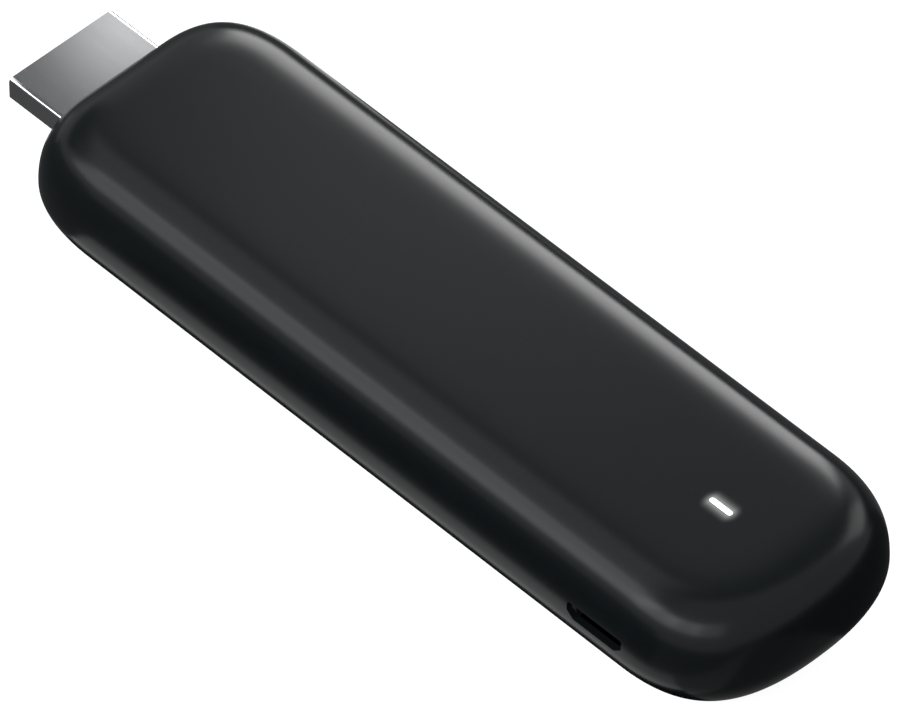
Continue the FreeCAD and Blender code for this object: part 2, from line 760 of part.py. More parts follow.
def shield_lid(side, under=False):
    """Sheet-metal tray that clips over the frame."""
    name = f"{side}_shield_lid"
    reach = "(shield_metal + shield_clearance)"
    body = new_body(name)
    outside = new_sketch(body, f"{name}_outline", "XY_Plane", f"{side}_shield_height - shield_skirt")
    draw_rectangle(outside, f"{SHIELD_LENGTH[side]} + 2 * {reach}", f"{SHIELD_WIDTH[side]} + 2 * {reach}")
    block_pad = pad(body, f"{name}_block", outside, "shield_skirt + shield_metal")
    clipped = clip_corners(body, f"{name}_corners", block_pad, f"shield_corner + {reach} * {CHAMFER_GROWTH}")
    hollow(body, f"{name}_tray", clipped, ALONG_Z, "low", "shield_metal")
    return stand(body, SHIELD_PLACE[side], "0", under)


def wireless_module():
    """Small board of its own under a metal can."""
    body = new_body("wireless_module")
    base = new_sketch(body, "wireless_board_outline", "XY_Plane")
    draw_rectangle(base, "wireless_side", "wireless_side")
    pad(body, "wireless_base", base, "wireless_board")
    can = new_sketch(body, "wireless_can_outline", "XY_Plane", "wireless_board")
    draw_rectangle(can, "wireless_side - 2 * cap_step", "wireless_side - 2 * cap_step")
    pad(body, "wireless_can", can, "wireless_height - wireless_board")
    return stand(body, "wireless_place")


def memory_chips():
    """Two memory packages side by side on the board's underside."""
    offset = "(memory_width + memory_gap) / 2"
    pair = [
        chip(f"memory_chip_{number}", "memory_length", "memory_width", "memory_height", MEMORY_PLACE,
             f"{side} * {offset}", under=True)
        for number, side in enumerate((1, -1), 1)
    ]
    return group("memory_chips", pair)


def power_inductors():
    """Three coils of the supply, in a row beside the power socket."""
    row = [
        block(f"inductor_{number}", "inductor_length", "inductor_width", "inductor_height",
              f"{SOCKET_PLACE} + inductor_offset", f"-inductor_pitch * {number}", "board_top")
        for number in range(INDUCTORS)
    ]
    return group("power_inductors", row)


def capacitors():
    """Ceramic capacitors in two rows beside the processor."""
    pieces = [
        block(f"capacitor_{column}_{row}", "capacitor_length", "capacitor_width", "capacitor_height",
              f"{PROCESSOR_PLACE} + capacitor_pitch * {column - (CAPACITORS_IN_ROW - 1) / 2}",
              f"{side} * ((processor_side + capacitor_width) / 2 + capacitor_clearance)", "board_top")
        for row, side in enumerate((1, -1))
        for column in range(CAPACITORS_IN_ROW)
    ]
    return group("capacitors", pieces)


def antenna(name, side):
    """Folded sheet-metal antenna: a slotted plate on two legs."""
    body = new_body(name)
    outline_sketch = new_sketch(body, f"{name}_outline", "XY_Plane")
    draw_rectangle(outline_sketch, "antenna_length", "antenna_reach - antenna_start")
    pad(body, f"{name}_block", outline_sketch, "antenna_height")
    inside = new_sketch(body, f"{name}_inside_outline", "XY_Plane")
    draw_rectangle(inside, "antenna_length - 2 * antenna_metal", "antenna_reach")
    pocket(body, f"{name}_inside", inside, "antenna_height - antenna_metal", reverse=True)
    gap = new_sketch(body, f"{name}_leg_gap_outline", "YZ_Plane")
    draw_rectangle(gap, "antenna_reach - antenna_start", "2 * (antenna_height - antenna_metal)",
                   "antenna_leg", "0")
    pocket(body, f"{name}_leg_gap", gap, "antenna_length + 2 * cut_margin", both_ways=True)
    slot = new_sketch(body, f"{name}_slot_outline", "XY_Plane")
    draw_rectangle(slot, "antenna_length - 2 * antenna_leg", "antenna_slot")
    pocket(body, f"{name}_slot", slot, "antenna_height + cut_margin", reverse=True)
    if side < 0:
        body.Placement.Rotation = FreeCAD.Rotation(ALONG_Z, 180)
    return place(body, "antenna_inset - body_length / 2", f"{side} * (antenna_start + antenna_reach) / 2",
                 "board_top")


# Indicator

def light_pipe():
    """Clear moulding: a stem over the lamp, a flange under the cover and a pill flush with the top."""
    body = new_body("light_pipe")
    rise = f"{CEILING} - {PIPE_BOTTOM}"
    stem = new_sketch(body, "stem_outline", "XY_Plane")
    draw_rectangle(stem, "pipe_stem_length", "pipe_stem_width")
    pad(body, "stem", stem, rise)
    flange = new_sketch(body, "flange_outline", "XY_Plane", f"{rise} - pipe_flange_thickness")
    draw_rectangle(flange, "pipe_flange_length", "pipe_flange_width")
    pad(body, "flange", flange, "pipe_flange_thickness")
    head = new_sketch(body, "pill_outline", "XY_Plane", rise)
    draw_slot(head, "pill_length", "pill_width")
    pad(body, "pill", head, "wall")
    return place(body, INDICATOR_PLACE, "0", PIPE_BOTTOM)


def pill_opening():
    """Tool that cuts the pill's hole through the top."""
    body = new_body("pill_opening")
    sketch = new_sketch(body, "pill_opening_outline", "XY_Plane")
    draw_slot(sketch, "pill_length + 2 * pill_clearance", "pill_width + 2 * pill_clearance")
    pad(body, "pill_opening_block", sketch, "wall + 2 * cut_margin")
    return place(body, INDICATOR_PLACE, "0", f"{CEILING} - cut_margin")


def tunnel_block(name, reach, height, low):
    """Block round the lamp, the light pipe's flange grown by reach on each side."""
    return block(name, f"pipe_flange_length + 2 * ({reach})", f"pipe_flange_width + 2 * ({reach})", height,
                 INDICATOR_PLACE, "0", low)


def light_gasket():
    """Foam frame that keeps the lamp's light inside the tunnel."""
    outer = tunnel_block("gasket_outer", "tunnel_clearance + tunnel_wall", "gasket_height", "board_top")
    inner = tunnel_block("gasket_inner", "tunnel_clearance", "gasket_height + 2 * cut_margin",
                         "board_top - cut_margin")
    return cut("light_gasket", outer, inner)


# Heat path

def heat_spreader(side, stakes=False):
    """Aluminium plate with clipped corners, and with stake holes where it hangs from the cover."""
    name = f"{side}_heat_spreader"
    body = new_body(name)
    sketch = new_sketch(body, f"{name}_outline", "XY_Plane")
    draw_rectangle(sketch, SPREADER_LENGTH[side], SPREADER_WIDTH[side])
    plate = pad(body, f"{name}_plate", sketch, "spreader_thickness")
    clip_corners(body, f"{name}_corners", plate, "spreader_corner")
    if stakes:
        hole = "stake_size + 2 * stake_clearance"
        holes = new_sketch(body, f"{name}_holes_outline", "XY_Plane")
        for number, end in enumerate(STAKES):
            draw_rectangle(holes, hole, hole, f"{end} * {STAKE_OFFSET}", "0", f"hole_{number}")
        pocket(body, f"{name}_holes", holes, "2 * (spreader_thickness + cut_margin)", both_ways=True)
    return place(body, SHIELD_PLACE[side], "0", SPREADER_SEAT[side])


def thermal_pad(side):
    return block(f"{side}_thermal_pad", PAD_LENGTH[side], PAD_WIDTH[side], f"{side}_pad_thickness",
                 SHIELD_PLACE[side], "0", PAD_SEAT[side])


# Housing covers

def posts(name, low, high):
    """Square posts that clamp the board between the covers."""
    return [block(f"{name}_{number}", "post_size", "post_size", f"{high} - ({low})", x, y, low)
            for number, (x, y) in enumerate(POSTS)]


def pins(name, radius, low, high):
    """Pins, or the bores that they enter, on two of the posts."""
    return [rod(f"{name}_{number}", radius, f"{high} - ({low})", x, y, low)
            for number, (x, y) in enumerate(PINS)]


def cross_ribs(side, low, high, width):
    """Ribs across the cover that carry its heat spreader."""
    return [
        block(f"{side}_rib_{number}", "rib_thickness", width, f"{high} - ({low})",
              f"{SHIELD_PLACE[side]} + ({SPREADER_LENGTH[side]} / 2 - rib_inset) * {end}", "0", low)
        for number, end in enumerate((-1, 0, 1))
    ]


def plug_opening():
    """Tool for the plug's opening, which both covers share."""
    body = new_body("plug_opening")
    sketch = new_sketch(body, "plug_opening_outline", "YZ_Plane")
    draw_plug_profile(sketch, "plug", "(-plug_opening_clearance)")
    solid = pad(body, "plug_opening_block", sketch, "plug_length", reverse=True)
    round_edges(body, "plug_opening_edges", solid, ALONG_X, "plug_edge_radius + plug_opening_clearance")
    return place(body, f"{PLUG_TIP} + plug_length - plug_reach - 2 * wall", "0", PLUG_CENTRE)


def socket_tool(name, kind, inset, start, length, radius):
    """Tool with a connector outline that reaches inwards from start, measured out from the socket's mouth."""
    body = new_body(name)
    sketch = new_sketch(body, f"{name}_outline", "XZ_Plane")
    draw_plug_profile(sketch, kind, inset)
    solid = pad(body, f"{name}_block", sketch, length)
    round_edges(body, f"{name}_edges", solid, ALONG_Y, radius)
    return place(body, SOCKET_PLACE, f"{SOCKET_MOUTH} + {start}", SOCKET_CENTRE)


def ring(name, outer_inset, inner_inset, low, high):
    """Upright band between two plan outlines."""
    margin = size("cut_margin")
    outer = feature(f"{name}_outer", prism(outer_inset, low, high))
    inner = feature(f"{name}_inner", prism(inner_inset, low - margin, high + margin))
    return cut(name, outer, inner)


def open_up(name, shell, openings):
    """Cover with its openings cut one after the other; the last result has the cover's name."""
    for number, tool in enumerate(openings, 1):
        last = number == len(openings)
        shell = cut(name if last else f"{name}_opening_{number}", shell, tool)
    return shell


def bottom_cover(openings):
    """Lower half: shell, board posts with pins, spreader ribs and the lip for the top cover."""
    parting = size("parting_height")
    wall = size("wall")
    outside = feature("bottom_outside", pebble(0, 0, parting - size("seam_gap") / 2, OUTSIDE_STEPS))
    cavity = feature("bottom_cavity", pebble(wall, wall, parting, CAVITY_STEPS))
    inner_pieces = posts("bottom_post", "wall / 2", BOARD_BOTTOM)
    inner_pieces += pins("locating_pin", "pin_radius", "wall", "board_top + pin_stand")
    inner_pieces += cross_ribs("lower", "wall / 2", SPREADER_SEAT["lower"], SPREADER_WIDTH["lower"])
    space = cut("bottom_space", cavity, fuse("bottom_inner_pieces", inner_pieces))
    shell = cut("bottom_shell", outside, space)
    lip_inside = wall - size("lip_step")
    lip = ring("lip", lip_inside - size("lip_thickness"), lip_inside, parting - size("lip_root"),
               parting + size("lip_rise"))
    lipped = fuse("bottom_with_lip", [shell, lip])
    return open_up("bottom_cover", lipped, openings)


def top_cover(openings):
    """Upper half: shell, board posts, light tunnel, stakes and ribs for the heat spreader."""
    parting = size("parting_height")
    wall = size("wall")
    top = size("body_height")
    outside = feature("top_outside", pebble(0, parting + size("seam_gap") / 2, top, OUTSIDE_STEPS))
    cavity = feature("top_cavity", pebble(wall, parting, top - wall, CAVITY_STEPS))
    solid_posts = posts("top_post", "board_top", INTO_CEILING)
    feet = posts("top_post_foot", "board_top", "board_top + post_foot")
    pockets = pins("pin_pocket", "pin_radius + pin_clearance", "board_top - pin_pocket",
                   "board_top + pin_pocket")
    tunnel = tunnel_block("tunnel_outer", "tunnel_clearance + tunnel_wall",
                          f"{INTO_CEILING} - board_top - gasket_height", "board_top + gasket_height")
    bore = tunnel_block("tunnel_inner", "tunnel_clearance", f"{CEILING} - board_top", "board_top")
    stakes = []
    seat = SPREADER_SEAT["upper"]
    for number, end in enumerate(STAKES):
        x = f"{SHIELD_PLACE['upper']} + {end} * {STAKE_OFFSET}"
        stakes.append(block(f"stake_{number}", "stake_size", "stake_size", f"{INTO_CEILING} - {seat}",
                            x, "0", seat))
        stakes.append(block(f"stake_head_{number}", "stake_head_size", "stake_head_size",
                            "stake_head_thickness", x, "0", f"{seat} - stake_head_thickness"))
    ribs = cross_ribs("upper", f"{seat} + spreader_thickness", INTO_CEILING, "upper_rib_length")
    inner_pieces = fuse("top_inner_pieces", solid_posts + [tunnel] + stakes + ribs)
    bores = fuse("top_bores", pockets + [bore])
    space = cut("top_space", cavity, cut("top_inner_drilled", inner_pieces, bores))
    drilled_feet = cut("top_feet_drilled", fuse("top_feet", feet), bores)
    shell = fuse("top_shell", [cut("top_walls", outside, space), drilled_feet])
    clearance = size("lip_clearance")
    rebate = ring("rebate", wall - size("lip_step") - size("lip_thickness") - clearance,
                  wall + size("lip_step"), parting - wall, parting + size("lip_rise") + clearance)
    return open_up("top_cover", cut("top_rebated", shell, rebate), openings)


shared_openings = [
    plug_opening(),
    socket_tool("socket_relief", "socket", "(-socket_opening_clearance)", "socket_opening_clearance / 2",
                "socket_length", "socket_edge_radius + socket_opening_clearance"),
    socket_tool("socket_mouth", "mouth", "0", "socket_recess + cut_margin",
                "socket_recess + 2 * cut_margin", "mouth_edge_radius"),
]

parts = [
    bottom_cover(shared_openings),
    top_cover(shared_openings + [pill_opening()]),
    plug_shell(),
    plug_insulator(),
    plug_contacts("upper", UPPER_CONTACTS, "plug_slot_height / 2", "-plug_lift"),
    plug_contacts("lower", LOWER_CONTACTS, "-plug_slot_height / 2 - plug_contact_metal",
                  "-plug_lift - board_thickness - plug_contact_metal"),
    plug_bracket(),
    socket_shell(),
    socket_tongue(),
    socket_contacts(),
    circuit_board(),
    chip("main_processor", "processor_side", "processor_side", "processor_height", PROCESSOR_PLACE),
    memory_chips(),
    chip("storage_chip", "storage_length", "storage_width", "storage_height", "storage_place", under=True),
    wireless_module(),
    chip("power_regulator", "regulator_side", "regulator_side", "regulator_height", REGULATOR_PLACE),
    power_inductors(),
    capacitors(),
    block("timing_crystal", "crystal_length", "crystal_width", "crystal_height", CRYSTAL_PLACE, "0",
          "board_top"),
    block("indicator_led", "led_length", "led_width", "led_height", INDICATOR_PLACE, "0", "board_top"),
    light_pipe(),
    light_gasket(),
    shield_frame("upper"),
    shield_lid("upper"),
    shield_frame("lower", under=True),
    shield_lid("lower", under=True),
    block("processor_pad", CHIP_PAD_SIDE, CHIP_PAD_SIDE, "upper_shield_height - processor_height",
          PROCESSOR_PLACE, "0", "board_top + processor_height"),
    thermal_pad("upper"),
    heat_spreader("upper", stakes=True),
    thermal_pad("lower"),
    heat_spreader("lower"),
    antenna("antenna_left", -1),
    antenna("antenna_right", 1),
]

doc.recompute()

for item in doc.Objects:
    if {"Invalid", "Error"} & set(item.State):
        raise RuntimeError(f"{item.Label} failed: {item.State}")
for piece in parts:
    if piece.Shape.isNull() or not piece.Shape.isValid():
        raise RuntimeError(f"{piece.Label} has no valid shape")

os.makedirs("parts", exist_ok=True)
for piece in parts:
    piece.Shape.exportStep(f"parts/{piece.Label}.step")
    print(piece.Label, "solids", len(piece.Shape.Solids), "volume", round(piece.Shape.Volume, 3))
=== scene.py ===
import json
import math

import bmesh
import bpy
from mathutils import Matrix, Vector


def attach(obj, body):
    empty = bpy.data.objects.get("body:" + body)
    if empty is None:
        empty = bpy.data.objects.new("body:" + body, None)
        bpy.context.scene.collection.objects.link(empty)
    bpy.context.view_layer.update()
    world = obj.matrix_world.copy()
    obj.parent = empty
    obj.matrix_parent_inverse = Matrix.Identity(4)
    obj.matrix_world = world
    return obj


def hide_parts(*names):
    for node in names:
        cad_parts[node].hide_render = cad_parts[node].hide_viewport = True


# Looks of the streaming media stick. The script works in metres, in the frame of the
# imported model: origin in the middle of the underside, +X to the video plug, +Y to the
# side with the power socket, +Z up.

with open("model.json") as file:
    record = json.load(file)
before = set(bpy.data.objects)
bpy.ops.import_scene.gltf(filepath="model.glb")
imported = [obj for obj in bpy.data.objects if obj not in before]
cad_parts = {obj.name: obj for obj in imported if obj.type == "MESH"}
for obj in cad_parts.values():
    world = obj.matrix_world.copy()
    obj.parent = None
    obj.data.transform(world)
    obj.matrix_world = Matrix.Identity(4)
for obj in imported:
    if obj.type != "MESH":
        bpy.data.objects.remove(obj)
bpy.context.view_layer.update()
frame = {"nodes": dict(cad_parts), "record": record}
MM = 0.001

# Housing form, with the same values as the solids apart from a finer seam
BODY_LENGTH = 98.9 * MM
BODY_WIDTH = 30.7 * MM
BODY_HEIGHT = 15.4 * MM
WIDEST = 7.6 * MM
PARTING = 7.0 * MM
SEAM_GAP = 0.01 * MM
WALL = 1.5 * MM
CORNER_LENGTHS = {"far": 13.0 * MM, "plug": 11.5 * MM}
PLUG_CORNER_WIDTH = 9.9 * MM
FAR_FLAT_WIDTH = 0.5 * MM
CORNER_FULLNESS = 0.69
CORNER_TIGHTENING = 0.9
LEAST_CORNER = 0.3 * MM

# Shoulders, with an exponent where they leave the side and one where they reach the flat
TOP_SHOULDER = 9.0 * MM
TOP_EXPONENTS = (2.17, 4.0)
BOTTOM_SHOULDER = 9.5 * MM
BOTTOM_EXPONENTS = (1.8, 1.8)

# Steps of the covers' mesh along a corner, a long side and an end, and up each shoulder
# outside and inside. The openings' corners have steps of their own.
CORNER_STEPS = 36
RUN_STEPS = 60
END_STEPS = 16
OUTSIDE_STEPS = 40
CAVITY_STEPS = 16
ARC_STEPS = 6
HEIGHT_DECIMALS = 9

# Edges sharper than this stay sharp
SMOOTH_UP_TO = math.radians(30)

# Openings
PLUG_CENTRE_HEIGHT = 7.7 * MM
PLUG_OPENING = {"width": 14.02 * MM, "height": 4.57 * MM, "side": 2.72 * MM, "narrow": 10.5 * MM,
                "radius": 0.56 * MM}
SOCKET_PLACE = -33.5 * MM
SOCKET_HEIGHT = 8.625 * MM
SOCKET_MOUTH = {"width": 7.35 * MM, "height": 1.85 * MM, "side": 1.1 * MM, "narrow": 5.5 * MM,
                "radius": 0.3 * MM}
PILL_PLACE = -35.1 * MM
PILL_LENGTH = 3.1 * MM
PILL_WIDTH = 0.82 * MM

# Radius of the pill's ends as a share of its half width
PILL_ROUNDNESS = 0.99

# Signs of the four corners of a rectangle, in one turning order
QUADRANTS = ((1, 1), (-1, 1), (-1, -1), (1, -1))


# Forms

def outline(inset, height):
    """Closed plan outline set in from the widest line, as points in one turning order."""
    half_length = BODY_LENGTH / 2 - inset
    half_width = BODY_WIDTH / 2 - inset
    tighter = inset * CORNER_TIGHTENING
    far_corner_width = half_width - FAR_FLAT_WIDTH / 2
    corners = []
    for end, side in QUADRANTS:
        if end > 0:
            length = CORNER_LENGTHS["plug"] - tighter
            width = min(PLUG_CORNER_WIDTH - tighter, far_corner_width)
        else:
            length = CORNER_LENGTHS["far"] - tighter
            width = far_corner_width
        length = max(length, LEAST_CORNER)
        width = max(width, LEAST_CORNER)
        centre = Vector((end * (half_length - length), side * (half_width - width), height))
        along = Vector((end * length, 0, 0))
        across = Vector((0, side * width, 0))
        poles = [
            centre + along,
            centre + along + across * CORNER_FULLNESS,
            centre + across + along * CORNER_FULLNESS,
            centre + across,
        ]
        corners.append(poles if end == side else poles[::-1])
    points = []
    run_steps = (RUN_STEPS, END_STEPS, RUN_STEPS, END_STEPS)
    for number, (poles, steps) in enumerate(zip(corners, run_steps)):
        for step in range(CORNER_STEPS):
            points.append(on_curve(poles, step / CORNER_STEPS))
        following = corners[(number + 1) % len(corners)]
        for step in range(steps):
            points.append(poles[-1].lerp(following[0], step / steps))
    return points


def on_curve(poles, share):
    """Point of a cubic curve at a share of its length."""
    rest = 1 - share
    return (poles[0] * rest ** 3 + poles[1] * (3 * rest ** 2 * share)
            + poles[2] * (3 * rest * share ** 2) + poles[3] * share ** 3)


def drawn_in(inset, height):
    """How far the form that is set in by inset has drawn in from its widest line at a height."""
    if height > WIDEST:
        rise, shoulder, exponents = BODY_HEIGHT - WIDEST, TOP_SHOULDER, TOP_EXPONENTS
    else:
        rise, shoulder, exponents = WIDEST, BOTTOM_SHOULDER, BOTTOM_EXPONENTS
    side_exponent, flat_exponent = exponents
    climbed = min(abs(height - WIDEST) / (rise - inset), 1) ** side_exponent
    return (shoulder - inset) * (1 - (1 - climbed) ** (1 / flat_exponent))


def pebble_rows(inset, low, high, steps):
    """Outlines of the housing's form, set in by inset, from one height to another."""
    heights = {low, high}
    for (side_exponent, _), end in ((BOTTOM_EXPONENTS, inset), (TOP_EXPONENTS, BODY_HEIGHT - inset)):
        for step in range(steps + 1):
            climbed = math.sin(math.pi / 2 * step / steps) ** (2 / side_exponent)
            heights.add(round(WIDEST + (end - WIDEST) * climbed, HEIGHT_DECIMALS))
    return [outline(inset + drawn_in(inset, height), height) for height in sorted(heights)
            if low <= height <= high]


def vertex_rows(bm, rows):
    """Vertices for the points of each row."""
    return [[bm.verts.new(point) for point in row] for row in rows]


def bridge(bm, lower, upper):
    """Band of faces between two rows of vertices."""
    count = len(lower)
    for number in range(count):
        following = (number + 1) % count
        bm.faces.new((lower[number], lower[following], upper[following], upper[number]))


def finish_mesh(bm, name):
    """Piece in the scene with the mesh that was built."""
    mesh = bpy.data.meshes.new(name)
    bm.to_mesh(mesh)
    bm.free()
    piece = bpy.data.objects.new(name, mesh)
    bpy.context.scene.collection.objects.link(piece)
    return piece


def build_cover(name, low, high):
    """Half housing with an outside, an inside one wall further in, and a rim that joins them."""
    bm = bmesh.new()
    upper_half = high > WIDEST
    inside_low, inside_high = (low, high - WALL) if upper_half else (low + WALL, high)
    outside = vertex_rows(bm, pebble_rows(0.0, low, high, OUTSIDE_STEPS))
    inside = vertex_rows(bm, pebble_rows(WALL, inside_low, inside_high, CAVITY_STEPS))
    for rows in (outside, inside):
        for lower, upper in zip(rows, rows[1:]):
            bridge(bm, lower, upper)
    rim, flat = (0, -1) if upper_half else (-1, 0)
    bridge(bm, inside[rim], outside[rim])
    bm.faces.new(outside[flat])
    bm.faces.new(inside[flat])
    bmesh.ops.recalc_face_normals(bm, faces=bm.faces)
    return finish_mesh(bm, name)


def connector_outline(width, height, side, narrow, radius):
    """Outline of a connector: wide top, straight sides and a narrow bottom, with round corners."""
    half_height = height / 2
    knee = half_height - side
    corners = [
        (width / 2, half_height), (-width / 2, half_height), (-width / 2, knee),
        (-narrow / 2, -half_height), (narrow / 2, -half_height), (width / 2, knee),
    ]
    return round_corners(corners, radius)


def round_corners(corners, radius):
    """Points of a closed outline whose corners are rounded to one radius."""
    points = []
    for number, corner in enumerate(corners):
        here = Vector(corner)
        before = (Vector(corners[number - 1]) - here).normalized()
        after = (Vector(corners[(number + 1) % len(corners)]) - here).normalized()
        half_angle = before.angle(after) / 2
        reach = radius / math.tan(half_angle)
        centre = here + (before + after).normalized() * (radius / math.sin(half_angle))
        first = here + before * reach - centre
        last = here + after * reach - centre
        for step in range(ARC_STEPS + 1):
            points.append(centre + first.slerp(last, step / ARC_STEPS) * radius)
    return points


def prism(name, points, to_space, reach):
    """Closed prism of a flat outline; to_space puts an outline point at a depth into the frame."""
    bm = bmesh.new()
    near, far = vertex_rows(bm, [[to_space(point, depth) for point in points] for depth in reach])
    bridge(bm, near, far)
    bm.faces.new(near[::-1])
    bm.faces.new(far)
    bmesh.ops.recalc_face_normals(bm, faces=bm.faces)
    return finish_mesh(bm, name)


def carve(piece, tools):
    """Cut tools out of a piece and leave the result in its mesh."""
    for tool in tools:
        modifier = piece.modifiers.new("opening", "BOOLEAN")
        modifier.object = tool
        modifier.operation = "DIFFERENCE"
        modifier.solver = "EXACT"
    graph = bpy.context.evaluated_depsgraph_get()
    mesh = bpy.data.meshes.new_from_object(piece.evaluated_get(graph))
    piece.modifiers.clear()
    piece.data = mesh


def smooth(piece):
    """Shade a piece smooth, except across its sharp edges."""
    mesh = piece.data
    bm = bmesh.new()
    bm.from_mesh(mesh)
    for face in bm.faces:
        face.smooth = True
    for edge in bm.edges:
        edge.smooth = len(edge.link_faces) == 2 and edge.calc_face_angle() < SMOOTH_UP_TO
    bm.to_mesh(mesh)
    bm.free()


plug_tool = prism(
    "plug_tool",
    connector_outline(**PLUG_OPENING),
    lambda point, depth: Vector((depth, point.x, PLUG_CENTRE_HEIGHT + point.y)),
    (BODY_LENGTH / 2 - 3 * WALL, BODY_LENGTH / 2 + WALL),
)
mouth_tool = prism(
    "mouth_tool",
    connector_outline(**SOCKET_MOUTH),
    lambda point, depth: Vector((SOCKET_PLACE + point.x, depth, SOCKET_HEIGHT + point.y)),
    (BODY_WIDTH / 2 - 2 * WALL, BODY_WIDTH / 2 + WALL),
)
pill_tool = prism(
    "pill_tool",
    round_corners([(x * PILL_LENGTH / 2, y * PILL_WIDTH / 2) for x, y in QUADRANTS],
                  PILL_WIDTH / 2 * PILL_ROUNDNESS),
    lambda point, depth: Vector((PILL_PLACE + point.x, point.y, depth)),
    (BODY_HEIGHT - 2 * WALL, BODY_HEIGHT + WALL),
)

covers = {
    "top_cover": build_cover("cover_top", PARTING + SEAM_GAP / 2, BODY_HEIGHT),
    "bottom_cover": build_cover("cover_bottom", 0.0, PARTING - SEAM_GAP / 2),
}
carve(covers["top_cover"], [plug_tool, mouth_tool, pill_tool])
carve(covers["bottom_cover"], [plug_tool])
for tool in (plug_tool, mouth_tool, pill_tool):
    bpy.data.objects.remove(tool)


# Material helpers

WHITE = (1, 1, 1)
NOISE_LOW = 0.3
NOISE_HIGH = 0.7
NOISE_DETAIL = 4.0


def new_material(name):
    """Material with its node tree, its shader and the place on the object."""
    material = bpy.data.materials.new(name)
    material.use_nodes = True
    tree = material.node_tree
    shader = tree.nodes["Principled BSDF"]
    place = tree.nodes.new("ShaderNodeTexCoord").outputs["Object"]
    return material, tree, shader, place


def feed(tree, value, socket):
    """Link an output to a socket, or set the socket to a number."""
    if isinstance(value, bpy.types.NodeSocket):
        tree.links.new(value, socket)
    else:
        socket.default_value = value


def calculate(tree, operation, *values):
    """Result of an operation on outputs and numbers."""
    node = tree.nodes.new("ShaderNodeMath")
    node.operation = operation
    for value, socket in zip(values, node.inputs):
        feed(tree, value, socket)
    return node.outputs[0]


def map_range(tree, value, start, end, low, high, easing="LINEAR"):
    """Result that goes from low to high while a value goes from start to end."""
    node = tree.nodes.new("ShaderNodeMapRange")
    node.interpolation_type = easing
    node.inputs["From Min"].default_value = start
    node.inputs["From Max"].default_value = end
    node.inputs["To Min"].default_value = low
    node.inputs["To Max"].default_value = high
    tree.links.new(value, node.inputs["Value"])
    return node.outputs["Result"]


def spread(tree, value, low, high):
    """Map a noise value to a range."""
    return map_range(tree, value, NOISE_LOW, NOISE_HIGH, low, high)


def fade_out(tree, distance, start, end, easing="LINEAR"):
    """One up to a start distance, and zero from an end distance on."""
    return map_range(tree, distance, start, end, 1.0, 0.0, easing)


def noise(tree, place, grain, stretch=(1, 1, 1)):
    """Noise with lumps about one grain across, longer along an axis whose stretch is under one."""
    mapping = tree.nodes.new("ShaderNodeMapping")
    mapping.inputs["Scale"].default_value = [share / grain for share in stretch]
    texture = tree.nodes.new("ShaderNodeTexNoise")
    texture.inputs["Scale"].default_value = 1.0
    texture.inputs["Detail"].default_value = NOISE_DETAIL
    tree.links.new(place, mapping.inputs["Vector"])
    tree.links.new(mapping.outputs["Vector"], texture.inputs["Vector"])
    return texture.outputs["Fac"]


def blend_colors(tree, value, first, second):
    """Colour that goes from one tone to another with a value."""
    node = tree.nodes.new("ShaderNodeMix")
    node.data_type = "RGBA"
    node.inputs["A"].default_value = (*first, 1)
    node.inputs["B"].default_value = (*second, 1)
    tree.links.new(value, node.inputs["Factor"])
    return node.outputs["Result"]


def bump(tree, shader, height, depth, strength):
    """Fine relief on a shader's surface."""
    node = tree.nodes.new("ShaderNodeBump")
    node.inputs["Distance"].default_value = depth
    node.inputs["Strength"].default_value = strength
    tree.links.new(height, node.inputs["Height"])
    tree.links.new(node.outputs["Normal"], shader.inputs["Normal"])


def shine(tree, shader, brightness):
    """White light that a surface gives off."""
    shader.inputs["Emission Color"].default_value = (*WHITE, 1)
    feed(tree, brightness, shader.inputs["Emission Strength"])


# Materials of the stick

# Tone drifts over this many grains, and roughness by this share
TONE_GRAINS = 12
ROUGHNESS_DRIFT = 0.08
RELIEF_STRENGTH = 0.35

# Glow of the pill with a rim of painted shade, and a glow painted on the plastic round it
PILL_HALO = 1.4 * MM
PILL_RIM = 0.07 * MM
PILL_GAP_SHADE_TONE = (0.03, 0.03, 0.03)
PILL_ROUGHNESS = 0.3
PILL_MOTTLE = 0.2 * MM
PILL_RELIEF = 0.002 * MM
PILL_RELIEF_STRENGTH = 0.2
PILL_BRIGHTNESS = 1.1
HALO_STRENGTH = 0.32
HALO_FALLOFF = 3.0
HALO_END_FALLOFF = 1.4


def finish(name, color, roughness, metallic=0.0, specular=0.5, grain=0.3 * MM, variation=0.12,
           relief=0.004 * MM, stretch=(1, 1, 1)):
    """Material with drifting tone, drifting roughness and a fine relief."""
    material, tree, shader, place = new_material(name)
    shader.inputs["Metallic"].default_value = metallic
    shader.inputs["Specular IOR Level"].default_value = specular
    slow = noise(tree, place, TONE_GRAINS * grain, stretch)
    fine = noise(tree, place, grain, stretch)
    darker = [channel * (1 - variation) for channel in color]
    lighter = [min(1.0, channel * (1 + variation)) for channel in color]
    tree.links.new(blend_colors(tree, slow, darker, lighter), shader.inputs["Base Color"])
    smoother, rougher = roughness * (1 - ROUGHNESS_DRIFT), roughness * (1 + ROUGHNESS_DRIFT)
    tree.links.new(spread(tree, fine, smoother, rougher), shader.inputs["Roughness"])
    bump(tree, shader, fine, relief, RELIEF_STRENGTH)
    return material


